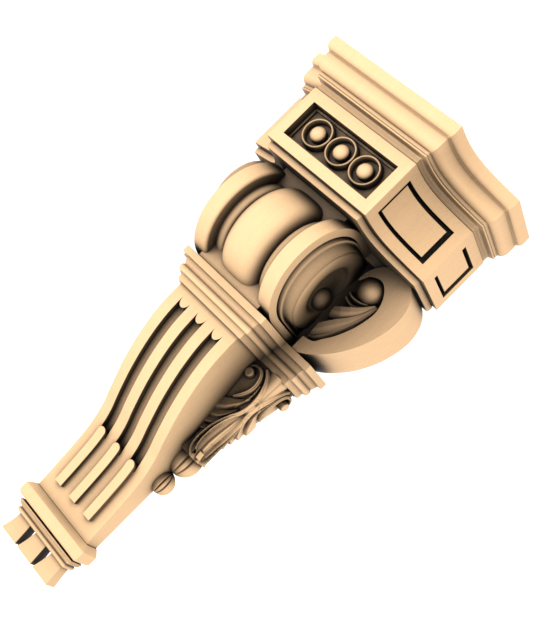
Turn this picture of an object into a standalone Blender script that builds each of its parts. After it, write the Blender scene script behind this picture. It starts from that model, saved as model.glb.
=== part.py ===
"""Carved timber wall corbel: stepped cornice and panelled block, scroll roll with leaf wings,
fluted tapering shaft with leaf brackets, plinth and three drops. One carved piece of timber.

Sizes are in millimetres. Heights are measured up from the foot, x runs across the face and
y runs back to the wall, which is y = 0. The finished solid is moved so that the fixing point
on its flat back is the origin.
"""
import math
import bpy
import bmesh
from mathutils import Matrix, Vector

MM = 0.001
FIX_HEIGHT = 390.0

# the work runs a little past the wall plane and is sawn off flat there at the end
PAST_WALL = 8.0
MERGE = 0.01

# block with the concave corners in plan
BLOCK_HALF = 55.0
BLOCK_DEPTH = 108.3
BLOCK_SIDE = 98.5
COVE_END = 53.0
COVE_FRONT_HANDLE = 36.0
COVE_BACK_HANDLE = 34.0
COVE_BACK_SLOPE = 24.0
BLOCK_BOTTOM = 364.8
PANEL_LOW = 374.0
PANEL_HIGH = 407.2
RECESS_HALF = 46.0
RECESS_DEPTH = 9.0
RING_PITCH = 26.0
RING_RADIUS = 11.8
RING_HEIGHT = 6.4
RING_FOOT_HALF = 1.3
RING_CREST_HALF = 0.45
BOSS_RADIUS = 6.6
SUNK = 0.5
CHANNEL_DEPTH = 4.0
CHANNEL_SPAN = (0.105, 0.907)
CHANNEL_INSIDE = (0.15, 0.85)
CHANNEL_SILL = 3.2
CHANNEL_HEAD = 3.6
RETURN_SPAN = (-44.3, -7.5)
RETURN_LEG = 6.5
FRAME_GAP = 0.8
FRAME_WIDTH = 1.7
FRAME_RISE = 2.0

# cornice above and bed mould below: outward step from the block, height
CORNICE = [(0.0, 416.8), (0.3, 419.4), (1.6, 421.9), (3.9, 423.6), (3.9, 427.9), (7.2, 429.6),
           (8.8, 432.6), (9.0, 443.2), (11.3, 445.0), (12.4, 448.6), (12.5, 454.8)]
BED = [(-30.0, 352.0), (-30.0, 358.0), (-6.4, 358.3), (-4.4, 360.2), (-4.4, 362.6), (-3.1, 363.6),
       (-3.1, 370.0)]

# roll, a turned scroll lying across the face
ROLL_Y = -70.5
ROLL_Z = 311.5
WHEEL_RADIUS = 47.0
WHEEL_OUT = 45.0
WHEEL_IN = 30.6
FILLET_RADIUS = 38.3
WHEEL_ROUND = 1.8
CUSHION_HALF = 20.0
CUSHION_EDGE = 36.0
CUSHION_CREST = 45.0
CUSHION_FLATNESS = 3.2
CUSHION_ROUNDNESS = 0.6
CORE_HALF = 35.0
CORE_FRONT = 88.0

# side face of the wheels: rings of the scroll and the eye
RIM_RADIUS = 41.6
SCROLL_BACK = -15.0
EYE_Y = -44.0
EYE_Z = 314.4
TURN_WIDE = 32.0
TURN_TALL = 36.8
# share of the way from the rim to the turn, distance out along x
SCROLL = [(0.06, 47.0), (0.06, 44.3), (0.19, 41.6), (0.3, 44.4), (0.45, 43.8), (0.645, 39.8),
          (0.97, 42.6), (0.97, 32.0)]
# share of the size of the turn, distance out along x
TURN = [(1.0, 30.0), (1.0, 43.0), (0.93, 44.3), (0.68, 44.0), (0.57, 41.2), (0.42, 36.4),
        (0.12, 35.4)]
BUD = (35.5, -30.0, 307.0)
BUD_RADII = (8.4, 13.0, 10.0)

# side wings: slab, leaf bed with a C-shaped band, volute and leaf lobes
WING_FRONT = 42.0
LEAF_FLOOR = 28.0
WING_FLOOR = 22.0
WING_INSIDE = 42.0
WING_TOP = 361.5
WING_LOW = 256.5
WING_EDGE = [(53.4, 260.6), (59.0, 263.6), (72.0, 272.2), (86.0, 287.5), (96.6, 307.5),
             (101.4, 330.0), (97.4, 348.5), (87.0, 358.8), (75.0, 361.2)]
WING_CURL = [(75.0, 361.2), (64.0, 358.2), (56.0, 351.4), (53.0, 344.6)]
WING_CORE = (59.0, 340.0)
WING_CAVITY = [(63.0, 346.8), (68.0, 348.0), (75.0, 345.0), (82.0, 335.0), (83.4, 322.0),
               (79.2, 306.0), (72.6, 291.6), (65.6, 281.0), (60.0, 277.4), (53.4, 276.6)]
VOLUTE = (65.0, -34.5, 336.4)
VOLUTE_RADII = (12.2, 11.2, 11.0)
# points along a lobe, half widths and heights from its root to its tip
LOBES = [
    ([(54.6, 284.4), (59.0, 286.8), (68.0, 296.0), (76.0, 310.0), (81.0, 325.0)],
     [4.0, 6.6, 6.0, 4.0, 2.0], [2.0, 7.5, 9.5, 10.0, 9.0]),
    ([(54.4, 305.2), (58.6, 306.0), (66.0, 311.0), (74.0, 320.0), (79.0, 329.0)],
     [3.8, 4.8, 4.4, 3.0, 1.6], [4.0, 7.5, 9.5, 9.5, 7.0]),
    ([(54.4, 323.2), (60.0, 320.4), (66.0, 320.8), (72.0, 324.0)],
     [3.0, 2.8, 2.6, 2.0], [7.0, 8.0, 7.5, 6.0]),
]

# shelf and neck mould: inward step from the shelf edge, height
SHELF_HALF = 47.1
SHELF_DEPTH = 89.5
SHELF_STEP = 42.7
SHELF_SIDE = 76.1
SHELF_TOP = 263.8
NECK = [(12.1, 239.0), (11.2, 239.6), (9.7, 240.5), (8.8, 241.9), (8.6, 245.6), (7.2, 246.0),
        (5.4, 247.0), (4.7, 248.8), (4.9, 250.6), (6.0, 251.9), (5.7, 253.4), (4.9, 255.4),
        (3.9, 257.6), (0.0, 258.0), (0.0, 263.8)]

# shaft
SHAFT_HALF = 35.0
SHAFT_FOOT = 44.0
SHAFT_HEAD = 242.0
SHAFT_FACE = [(16.4, 44.0), (18.4, 62.0), (21.0, 84.0), (25.2, 107.0), (33.5, 127.5),
              (45.5, 145.5), (58.5, 167.0), (69.3, 190.5), (75.6, 212.0), (77.5, 230.0),
              (77.5, 242.0)]
FLUTE_PITCH = 20.0
FLUTE_HALF = 5.0
FLUTE_DEPTH = 6.0
FLUTE_TIP = 233.6
FLUTE_TONGUE = 5.5
FLUTE_TONGUE_TALL = 7.4
TONGUE_OVER = 3.0
TONGUE_BACK = 0.2
TONGUE_THICK = 10.0
FLUTE_FOOT = 109.0
ROD_HALF = 4.0
ROD_PROUD = 3.6
ROD_TOP = 116.3
ROD_FOOT = 58.5
ROD_LEAN = 0.28
ROD_BACK = 8.0

# plinth and its lower mould: inward step from the plinth face, height
PLINTH_HALF = 41.0
PLINTH_DEPTH = 22.0
PLINTH = [(8.0, 18.3), (7.2, 18.9), (7.0, 20.4), (7.3, 21.9), (8.0, 22.6), (6.6, 23.6),
          (5.6, 24.7), (5.2, 24.9), (5.2, 26.2), (4.4, 26.4), (4.4, 27.8), (7.6, 28.0),
          (7.6, 29.2), (4.2, 29.4), (0.0, 33.5), (0.0, 40.1), (5.4, 45.5)]

# three drops under the plinth
DROP_PITCH = 23.0
# height, half width, depth
DROP = [(0.0, 10.0, 13.5), (9.0, 8.5, 11.9), (18.6, 7.4, 11.4)]

# leaf bracket under the shelf wing: corner of its core at each height
BRACKET = [(150.0, 51.0, -19.2, 9.0), (154.0, 50.6, -18.8, 9.0), (160.0, 49.0, -17.6, 8.0),
           (168.0, 48.6, -17.4, 7.0), (180.0, 51.0, -20.0, 6.0), (190.0, 53.6, -22.6, 6.0),
           (205.0, 57.6, -27.0, 5.0), (222.0, 61.4, -30.2, 4.0), (241.0, 62.6, -31.0, 4.0)]
STEM = [(151.5, 51.6, -20.6, 4.6), (155.0, 54.2, -22.8, 6.6), (160.0, 53.6, -22.2, 7.6),
        (167.0, 53.8, -22.2, 7.8), (176.0, 55.6, -23.8, 6.6), (186.0, 58.0, -26.2, 4.8),
        (196.0, 60.0, -28.2, 3.2), (208.0, 61.6, -30.0, 2.8), (222.0, 62.8, -31.6, 2.6)]
# section of the stem: across and out, as shares of its half width
STEM_SECTION = ((-1.0, -0.25), (-0.72, 0.2), (-0.3, -0.12), (0.0, 0.0), (0.3, -0.12),
                (0.72, 0.2), (1.0, -0.25))
STEM_OUT = 0.8
STEM_CAMBER = 0.35
STEM_ROOT = 9.0
TIP = (54.6, -23.2, 154.2)
TIP_RADII = (4.0, 4.0, 3.2)
FRONT_EYE = (39.6, -31.0, 228.6)
FRONT_EYE_RADII = (4.0, 5.2, 4.6)
SIDE_EYE = (62.6, -4.9, 228.6)
SIDE_EYE_RADII = (5.0, 4.6, 4.6)
# beads in the corner of shaft and wall: height, width, half of the height
BEADS = [(144.6, 16.0, 15.6), (118.6, 11.7, 10.4)]
BEAD_BAND = 38.0
BEAD_BAND_HALF = 10.5
BEAD_GROOVE = 1.1
BEAD_GROOVE_HALF = 3.0
BEAD_ROOT = 6.0

# sections of a rib: share of its half width, share of its height
ROUND = [(-1.0, 0.0), (-0.7, 0.75), (0.0, 1.0), (0.7, 0.75), (1.0, 0.0)]
LEAF = [(-1.0, 0.15), (-0.66, 0.95), (-0.05, 0.45), (0.6, 1.0), (1.0, 0.15)]

# the leaf is drawn on each face of the bracket from the corner, 0, to the far side, 10
FACE_UNITS = 10.0
UNIT = 2.6
RIB_WIDEN = 2.4
RIB_DEEP = 2.5
RIBS = [
    ([(0.4, 212.0), (0.7, 221.0), (2.0, 230.0), (4.2, 235.5), (6.4, 237.5)],
     [1.0, 1.0, 0.9, 0.8, 0.7], [3.4, 3.0, 2.8, 2.6, 2.2], ROUND),
    ([(6.8, 206.6), (4.6, 209.4), (3.2, 214.0), (3.0, 221.0), (4.2, 229.0), (6.2, 233.4),
      (8.4, 233.6)], [0.5, 0.9, 1.0, 0.9, 0.9, 0.8, 0.6],
     [2.0, 2.8, 3.0, 3.0, 3.0, 3.0, 3.6], ROUND),
    ([(9.6, 192.6), (7.0, 196.6), (4.2, 203.0), (2.4, 211.0), (2.0, 217.0)],
     [1.3, 1.9, 1.7, 0.9, 0.4], [1.8, 3.0, 3.2, 2.8, 1.6], LEAF),
    ([(9.6, 183.8), (6.6, 186.8), (4.0, 192.0), (2.4, 199.0)],
     [0.9, 1.3, 1.2, 0.5], [1.6, 2.8, 3.0, 2.0], LEAF),
    ([(9.6, 172.0), (6.8, 175.0), (4.6, 180.0), (3.0, 187.0)],
     [0.9, 1.4, 1.2, 0.5], [1.4, 2.4, 2.6, 1.6], LEAF),
]

# parting angle above which an edge of the finished work stays sharp
CREASE = 35.0

collection = bpy.data.collections.new("corbel")
cutters = bpy.data.collections.new("cutters")


def clear_scene():
    for old in list(bpy.data.objects):
        bpy.data.objects.remove(old, do_unlink=True)
    bpy.context.scene.collection.children.link(collection)
    bpy.context.scene.collection.children.link(cutters)


def new_object(name, mesh, where=None):
    thing = bpy.data.objects.new(name, mesh)
    (where or cutters).objects.link(thing)
    return thing


def from_bmesh(name, bm, where=None):
    bmesh.ops.recalc_face_normals(bm, faces=bm.faces)
    mesh = bpy.data.meshes.new(name)
    bm.to_mesh(mesh)
    bm.free()
    return new_object(name, mesh, where)


def loft(name, rings, closed=False):
    """Skin between sections with equal numbers of points, capped at both ends."""
    bm = bmesh.new()
    rows = [[bm.verts.new(Vector(p) * MM) for p in ring] for ring in rings]
    count = len(rows[0])
    pairs = list(zip(rows, rows[1:]))
    if closed:
        pairs.append((rows[-1], rows[0]))
    for low, high in pairs:
        for i in range(count):
            j = (i + 1) % count
            bm.faces.new((low[i], low[j], high[j], high[i]))
    if not closed:
        bm.faces.new(list(reversed(rows[0])))
        bm.faces.new(rows[-1])
    return from_bmesh(name, bm)


def box(name, low, high):
    bm = bmesh.new()
    bmesh.ops.create_cube(bm, size=1.0)
    size = [(b - a) * MM for a, b in zip(low, high)]
    middle = [(a + b) / 2 * MM for a, b in zip(low, high)]
    bmesh.ops.scale(bm, vec=size, verts=bm.verts)
    bmesh.ops.translate(bm, vec=middle, verts=bm.verts)
    return from_bmesh(name, bm)


def ball(name, centre, radii, segments=20, rings=12):
    bm = bmesh.new()
    bmesh.ops.create_uvsphere(bm, u_segments=segments, v_segments=rings, radius=1.0)
    bmesh.ops.scale(bm, vec=[r * MM for r in radii], verts=bm.verts)
    bmesh.ops.translate(bm, vec=[c * MM for c in centre], verts=bm.verts)
    return from_bmesh(name, bm)


def flat(name, outline, low, high, axis="y"):
    """Flat outline given a thickness: a filled two-dimensional curve turned to its plane."""
    curve = bpy.data.curves.new(name, "CURVE")
    curve.dimensions = "2D"
    curve.fill_mode = "BOTH"
    curve.extrude = (high - low) / 2 * MM
    spline = curve.splines.new("POLY")
    spline.points.add(len(outline) - 1)
    for point, (a, b) in zip(spline.points, outline):
        point.co = (a * MM, b * MM, 0.0, 1.0)
    spline.use_cyclic_u = True
    carrier = new_object(name + "_curve", curve)
    if axis == "y":
        turn = Matrix(((1, 0, 0, 0), (0, 0, -1, 0), (0, 1, 0, 0), (0, 0, 0, 1)))
        shift = Matrix.Translation((0.0, (low + high) / 2 * MM, 0.0))
    else:
        turn = Matrix(((0, 0, 1, 0), (1, 0, 0, 0), (0, 1, 0, 0), (0, 0, 0, 1)))
        shift = Matrix.Translation(((low + high) / 2 * MM, 0.0, 0.0))
    bpy.context.view_layer.update()
    graph = bpy.context.evaluated_depsgraph_get()
    mesh = bpy.data.meshes.new_from_object(carrier.evaluated_get(graph))
    bpy.data.objects.remove(carrier, do_unlink=True)
    bm = bmesh.new()
    bm.from_mesh(mesh)
    bpy.data.meshes.remove(mesh)
    bmesh.ops.remove_doubles(bm, verts=bm.verts, dist=0.00001)
    bmesh.ops.transform(bm, matrix=shift @ turn, verts=bm.verts)
    return from_bmesh(name, bm)


def apply_modifiers(thing):
    graph = bpy.context.evaluated_depsgraph_get()
    mesh = bpy.data.meshes.new_from_object(thing.evaluated_get(graph))
    thing.modifiers.clear()
    thing.data = mesh


def combine(body, tools, operation):
    """One exact Boolean with a list of tools, applied at once. The tools are used up."""
    group = bpy.data.collections.new("tools")
    for tool in tools:
        group.objects.link(tool)
    modifier = body.modifiers.new("step", "BOOLEAN")
    modifier.operation = operation
    modifier.solver = "EXACT"
    modifier.operand_type = "COLLECTION"
    modifier.collection = group
    bpy.context.view_layer.update()
    apply_modifiers(body)
    for tool in tools:
        bpy.data.objects.remove(tool, do_unlink=True)
    bpy.data.collections.remove(group)
    bm = bmesh.new()
    bm.from_mesh(body.data)
    bmesh.ops.remove_doubles(bm, verts=bm.verts, dist=MERGE * MM)
    bmesh.ops.dissolve_degenerate(bm, edges=bm.edges, dist=MERGE * MM)
    bm.to_mesh(body.data)
    bm.free()
    return body


def both_sides(thing):
    """A piece of the right side joined by its mirror image on the left."""
    mirror = thing.modifiers.new("both_sides", "MIRROR")
    mirror.use_axis[0] = True
    mirror.use_mirror_merge = False
    bpy.context.view_layer.update()
    apply_modifiers(thing)
    return thing


def bezier(a, b, c, d, count):
    points = []
    for i in range(count + 1):
        t = i / count
        s = 1.0 - t
        weights = (s ** 3, 3 * s * s * t, 3 * s * t * t, t ** 3)
        points.append(tuple(sum(w * p[k] for w, p in zip(weights, (a, b, c, d)))
                            for k in range(len(a))))
    return points


def smooth_path(points, count):
    """Even curve through the given points (Catmull-Rom), count steps between each two."""
    ends = [points[0]] + list(points) + [points[-1]]
    path = []
    for i in range(1, len(ends) - 2):
        p0, p1, p2, p3 = ends[i - 1:i + 3]
        for k in range(count):
            t = k / count
            path.append(tuple(0.5 * (2 * b + (c - a) * t + (2 * a - 5 * b + 4 * c - d) * t * t
                                     + (3 * b - a - 3 * c + d) * t ** 3)
                              for a, b, c, d in zip(p0, p1, p2, p3)))
    path.append(tuple(points[-1]))
    return path


def along(table, height):
    """Straight-line value of every column of a table at a height in its first column."""
    if height <= table[0][0]:
        return table[0][1:]
    for low, high in zip(table, table[1:]):
        if height <= high[0]:
            t = (height - low[0]) / (high[0] - low[0])
            return tuple(a + (b - a) * t for a, b in zip(low[1:], high[1:]))
    return table[-1][1:]


def cove_curve(step, count=8):
    """Concave corner in plan, from the front corner to the side, at an outward step."""
    lean = math.radians(COVE_BACK_SLOPE)
    start = (BLOCK_HALF + 0.95 * step, -BLOCK_DEPTH - step)
    end = (BLOCK_SIDE + step, -COVE_END - 0.65 * step)
    one = (start[0], start[1] + COVE_FRONT_HANDLE)
    two = (end[0] - COVE_BACK_HANDLE * math.cos(lean), end[1] - COVE_BACK_HANDLE * math.sin(lean))
    return bezier(start, one, two, end, count)


def block_ring(step, height):
    right = cove_curve(step) + [(BLOCK_SIDE + step, PAST_WALL)]
    ring = [(x, y, height) for x, y in right]
    return ring + [(-x, y, height) for x, y in reversed(right)]


def shelf_ring(step, height):
    right = [(SHELF_HALF - step, -SHELF_DEPTH + step), (SHELF_HALF - step, -SHELF_STEP + step),
             (SHELF_SIDE - step, -SHELF_STEP + step), (SHELF_SIDE - step, PAST_WALL - 1.0)]
    ring = [(x, y, height) for x, y in right]
    return ring + [(-x, y, height) for x, y in reversed(right)]


def plinth_ring(step, height):
    half = PLINTH_HALF - step
    front = -PLINTH_DEPTH + step
    back = PAST_WALL - 2.0
    return [(half, front, height), (half, back, height), (-half, back, height),
            (-half, front, height)]


def cove_panel(name, span, low, high, out, deep):
    """Curved slab that follows the concave corner between two shares of its length."""
    fine = 200
    parts = 8
    curve = cove_curve(0.0, fine)
    marks = [span[0] + (span[1] - span[0]) * k / parts for k in range(parts + 1)]
    picked = [curve[round(mark * fine)] for mark in marks]
    rings = []
    for i, (x, y) in enumerate(picked):
        before = picked[max(i - 1, 0)]
        after = picked[min(i + 1, len(picked) - 1)]
        run = Vector((after[0] - before[0], after[1] - before[1])).normalized()
        side = Vector((run.y, -run.x))
        front = Vector((x, y)) + side * out
        back = Vector((x, y)) - side * deep
        rings.append([(front.x, front.y, low), (back.x, back.y, low),
                      (back.x, back.y, high), (front.x, front.y, high)])
    return loft(name, rings)


def ring_and_boss(centre, floor):
    """Turned ring with a domed boss inside it, standing on the floor of the recess."""
    crest = floor - RING_HEIGHT
    section = ((RING_RADIUS - RING_FOOT_HALF, floor + SUNK), (RING_RADIUS - RING_CREST_HALF, crest),
               (RING_RADIUS + RING_CREST_HALF, crest), (RING_RADIUS + RING_FOOT_HALF, floor + SUNK))
    rings = []
    for k in range(18):
        a = math.tau * k / 18
        rings.append([(centre[0] + r * math.cos(a), y, centre[1] + r * math.sin(a))
                      for r, y in section])
    ring = loft("ring", rings, closed=True)
    rings = []
    for share in (1.0, 0.9, 0.66, 0.3):
        y = floor + SUNK if share == 1.0 else floor - RING_HEIGHT * math.sqrt(1 - share ** 2)
        rings.append([(centre[0] + BOSS_RADIUS * share * math.cos(math.tau * k / 12), y,
                       centre[1] + BOSS_RADIUS * share * math.sin(math.tau * k / 12))
                      for k in range(12)])
    return [ring, loft("boss", rings)]


def build_block():
    body = loft("block", [block_ring(s, h) for s, h in [(0.0, BLOCK_BOTTOM)] + CORNICE])
    combine(body, [loft("bed", [block_ring(s, h) for s, h in BED])], "UNION")
    front = -BLOCK_DEPTH
    floor = front + RECESS_DEPTH
    recess = box("recess", (-RECESS_HALF, front - 5, PANEL_LOW), (RECESS_HALF, floor, PANEL_HIGH))
    channel = cove_panel("channel", CHANNEL_SPAN, PANEL_LOW, PANEL_HIGH, 2.0, CHANNEL_DEPTH)
    sill = PANEL_LOW + CHANNEL_SILL
    head = PANEL_HIGH - CHANNEL_HEAD
    inner = cove_panel("inner", CHANNEL_INSIDE, sill, head, 3.0, CHANNEL_DEPTH + 1)
    combine(channel, [inner], "DIFFERENCE")
    side = BLOCK_SIDE - CHANNEL_DEPTH
    start, end = RETURN_SPAN
    outer = box("outer", (side, start, PANEL_LOW), (BLOCK_SIDE + 3, end, PANEL_HIGH))
    kept = box("kept", (side - 1, start - 5, sill), (BLOCK_SIDE + 4, end - RETURN_LEG, head))
    combine(outer, [kept], "DIFFERENCE")
    combine(body, [recess, both_sides(channel), both_sides(outer)], "DIFFERENCE")
    edge = RECESS_HALF - FRAME_GAP
    low = PANEL_LOW + FRAME_GAP
    high = PANEL_HIGH - FRAME_GAP
    frame = box("frame", (-edge, floor - FRAME_RISE, low), (edge, floor + 1, high))
    edge -= FRAME_WIDTH
    hole = box("hole", (-edge, floor - 3, low + FRAME_WIDTH), (edge, floor + 2, high - FRAME_WIDTH))
    combine(frame, [hole], "DIFFERENCE")
    middle = (PANEL_LOW + PANEL_HIGH) / 2
    added = [frame]
    for place in (-1, 0, 1):
        added += ring_and_boss((place * RING_PITCH, middle), floor)
    return combine(body, added, "UNION")


def roll_profile():
    """Half of the roll from the middle outwards: distance along x, radius."""
    points = []
    for share in (0.0, 0.5, 0.8, 1.0):
        lift = (1.0 - share ** CUSHION_FLATNESS) ** CUSHION_ROUNDNESS
        points.append((share * CUSHION_HALF, CUSHION_EDGE + (CUSHION_CREST - CUSHION_EDGE) * lift))
    points += [(CUSHION_HALF + 0.6, CUSHION_EDGE), (CUSHION_HALF + 2.0, FILLET_RADIUS),
               (WHEEL_IN - 0.3, FILLET_RADIUS), (WHEEL_IN, WHEEL_RADIUS - WHEEL_ROUND),
               (WHEEL_IN + WHEEL_ROUND, WHEEL_RADIUS - 0.2), (WHEEL_OUT, WHEEL_RADIUS)]
    return points


def d_outline(radius, back, count=16):
    """Half round to the front and straight back towards the wall, as (y, z)."""
    turn = []
    for k in range(count + 1):
        a = math.pi / 2 + math.pi * k / count
        turn.append((ROLL_Y + radius * math.cos(a), ROLL_Z + radius * math.sin(a)))
    return turn + [(back, ROLL_Z - radius), (back, ROLL_Z + radius)]


def turn_outline(back, count=12):
    turn = []
    for k in range(count + 1):
        a = math.pi / 2 + math.pi * k / count
        turn.append((EYE_Y + TURN_WIDE * math.cos(a), EYE_Z + TURN_TALL * math.sin(a)))
    return turn + [(back, EYE_Z - TURN_TALL), (back, EYE_Z + TURN_TALL)]


def blend(one, two, share):
    return [(a + (c - a) * share, b + (d - b) * share) for (a, b), (c, d) in zip(one, two)]


def side_scroll():
    """Hollow cut into the side of a wheel, leaving the rim, a round band and the coved turn."""
    rim = d_outline(RIM_RADIUS, SCROLL_BACK, 12)
    turn = turn_outline(SCROLL_BACK)
    rings = [[(x, y, z) for y, z in blend(rim, turn, share)] for share, x in SCROLL]
    return both_sides(loft("side_scroll", rings))


def turn_band():
    """Broad crescent round the eye, with the hollow eye."""
    rings = []
    for share, x in TURN:
        rings.append([(x, EYE_Y + TURN_WIDE * share * math.cos(math.tau * k / 24),
                       EYE_Z + TURN_TALL * share * math.sin(math.tau * k / 24))
                      for k in range(24)])
    return both_sides(loft("turn_band", rings))


def ribbon(name, path, halves, heights, place, section, deep=3.0):
    """Tapering rib laid along a path in a developed face. The section lists
    (share of half width, share of height); place maps (u, v, height) to the solid."""
    rings = []
    for i, (u, v) in enumerate(path):
        before = path[max(i - 1, 0)]
        after = path[min(i + 1, len(path) - 1)]
        run = Vector((after[0] - before[0], after[1] - before[1])).normalized()
        side = Vector((-run.y, run.x))
        share = i / (len(path) - 1)
        half = along([(k / (len(halves) - 1), w) for k, w in enumerate(halves)], share)[0]
        tall = along([(k / (len(heights) - 1), h) for k, h in enumerate(heights)], share)[0]
        ring = [place(u + side.x * half * a, v + side.y * half * a, tall * h)
                for a, h in section]
        ring.append(place(u + side.x * half, v + side.y * half, -deep))
        ring.append(place(u - side.x * half, v - side.y * half, -deep))
        rings.append(ring)
    return loft(name, rings)


def on_wing(u, v, height):
    return (u, -LEAF_FLOOR - height, v)


def build_wing():
    edge = smooth_path(WING_EDGE, 2)
    body = flat("wing", edge + [(WING_INSIDE, WING_TOP), (WING_INSIDE, WING_LOW)], -WING_FLOOR,
                PAST_WALL - 3.0)
    curl = smooth_path(WING_CURL, 2)[1:]
    cavity = smooth_path(WING_CAVITY, 2)
    bed = flat("leaf_bed", edge + curl, -LEAF_FLOOR, -WING_FLOOR + 1.0)
    scroll = flat("scroll", edge + curl + [WING_CORE] + cavity, -WING_FRONT, -LEAF_FLOOR + 1.0)
    added = [bed, scroll, ball("volute", VOLUTE, VOLUTE_RADII, 12, 7)]
    for points, halves, heights in LOBES:
        added.append(ribbon("lobe", smooth_path(points, 2), halves, heights, on_wing, LEAF))
    return both_sides(combine(body, added, "UNION"))


def build_roll():
    half = roll_profile()
    profile = [(-x, r) for x, r in reversed(half[1:])] + half
    back = PAST_WALL - 0.5
    body = loft("roll", [[(x, y, z) for y, z in d_outline(r, back)] for x, r in profile])
    combine(body, [side_scroll()], "DIFFERENCE")
    bud = ball("bud", BUD, BUD_RADII, 12, 6)
    core = box("core", (-CORE_HALF, -CORE_FRONT, SHELF_TOP - 4),
               (CORE_HALF, PAST_WALL - 1.5, BLOCK_BOTTOM + 6))
    return combine(body, [turn_band(), both_sides(bud), core], "UNION")


def shaft_face():
    """Front line of the shaft from foot to head, as (depth, height)."""
    return smooth_path(SHAFT_FACE, 2)


def shaft_depth(height):
    table = [(z, d) for d, z in shaft_face()]
    return along(table, height)[0]


def build_shaft():
    face = shaft_face()
    back = PAST_WALL - 2.5
    outline = [(-d, z) for d, z in face] + [(back, SHAFT_HEAD), (back, SHAFT_FOOT)]
    body = flat("shaft", outline, -SHAFT_HALF, SHAFT_HALF, axis="x")
    step = (FLUTE_TIP - FLUTE_FOOT) / 8
    heights = [FLUTE_FOOT + step * k for k in range(9)]
    flutes = []
    added = []
    for place in (-1, 0, 1):
        middle = place * FLUTE_PITCH
        rings = []
        for z in heights:
            depth = shaft_depth(z)
            rings.append([(middle - FLUTE_HALF, -depth - 3, z), (middle + FLUTE_HALF, -depth - 3, z),
                          (middle + FLUTE_HALF, -depth + FLUTE_DEPTH, z),
                          (middle - FLUTE_HALF, -depth + FLUTE_DEPTH, z)])
        flutes.append(loft("flute", rings))
        over = FLUTE_TIP + TONGUE_OVER
        tongue = [(middle - FLUTE_TONGUE, over), (middle - FLUTE_TONGUE, FLUTE_TIP)]
        for k in range(1, 10):
            a = math.pi * k / 10
            tongue.append((middle - FLUTE_TONGUE * math.cos(a),
                           FLUTE_TIP - FLUTE_TONGUE_TALL * math.sin(a)))
        tongue += [(middle + FLUTE_TONGUE, FLUTE_TIP), (middle + FLUTE_TONGUE, over)]
        depth = shaft_depth(FLUTE_TIP - TONGUE_OVER) - TONGUE_BACK
        added.append(flat("tongue", tongue, -depth, TONGUE_THICK - depth))
        front = []
        top = ROD_TOP - ROD_HALF
        for z in (ROD_FOOT, ROD_FOOT + 18, ROD_FOOT + 36, top):
            front.append((shaft_depth(z) + ROD_PROUD, z))
        rings = []
        for depth, z in front:
            rings.append([(middle - ROD_HALF, -depth, z), (middle + ROD_HALF, -depth, z),
                          (middle + ROD_HALF, -ROD_BACK, z), (middle - ROD_HALF, -ROD_BACK, z)])
        for k in range(1, 6):
            a = math.pi / 2 * k / 6
            z = top + ROD_HALF * math.sin(a)
            half = ROD_HALF * math.cos(a)
            depth = front[-1][0] + (z - top) * ROD_LEAN
            rings.append([(middle - half, -depth, z), (middle + half, -depth, z),
                          (middle + half, -ROD_BACK, z), (middle - half, -ROD_BACK, z)])
        added.append(loft("rod", rings))
    combine(body, flutes, "DIFFERENCE")
    return combine(body, added, "UNION")


def bracket_ring(height, x, y, radius):
    back = PAST_WALL - 3.5
    ring = [(25.0, back, height), (x, back, height)]
    for k in range(4):
        a = math.pi / 2 * k / 3
        ring.append((x - radius + radius * math.cos(a), y + radius - radius * math.sin(a), height))
    ring.append((25.0, y, height))
    return ring


def on_front(u, v, height):
    x, y, radius = along(BRACKET, v)
    return (x + (SHAFT_HALF - x) * u / FACE_UNITS, y - height, v)


def on_side(u, v, height):
    x, y, radius = along(BRACKET, v)
    return (x + height, y * (1.0 - u / FACE_UNITS), v)


def grooved_bead(height, wide, tall):
    """Quarter ball in the corner of shaft and wall, with a raised band between two grooves."""
    low = BEAD_BAND - BEAD_BAND_HALF
    high = BEAD_BAND + BEAD_BAND_HALF
    marks = [(-18, 0), (4, 0)]
    for groove in (low, high):
        marks += [(groove - BEAD_GROOVE_HALF, 0), (groove, 1), (groove + BEAD_GROOVE_HALF, 0)]
    marks += [(70, 0), (90, 0)]
    back = PAST_WALL - 4.0
    rings = []
    for k in range(1, 7):
        a = -math.pi / 2 + math.pi * k / 7
        fade = math.cos(a)
        ring = []
        for degrees, sunk in marks:
            radius = (wide - BEAD_GROOVE * sunk) * fade
            turn = math.radians(degrees)
            ring.append((SHAFT_HALF + radius * math.sin(turn), -radius * math.cos(turn),
                         height + tall * math.sin(a)))
        ring.append((SHAFT_HALF + radius, back, height + tall * math.sin(a)))
        ring.append((SHAFT_HALF - BEAD_ROOT, back, height + tall * math.sin(a)))
        rings.append(ring)
    return loft("bead", rings)


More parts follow.
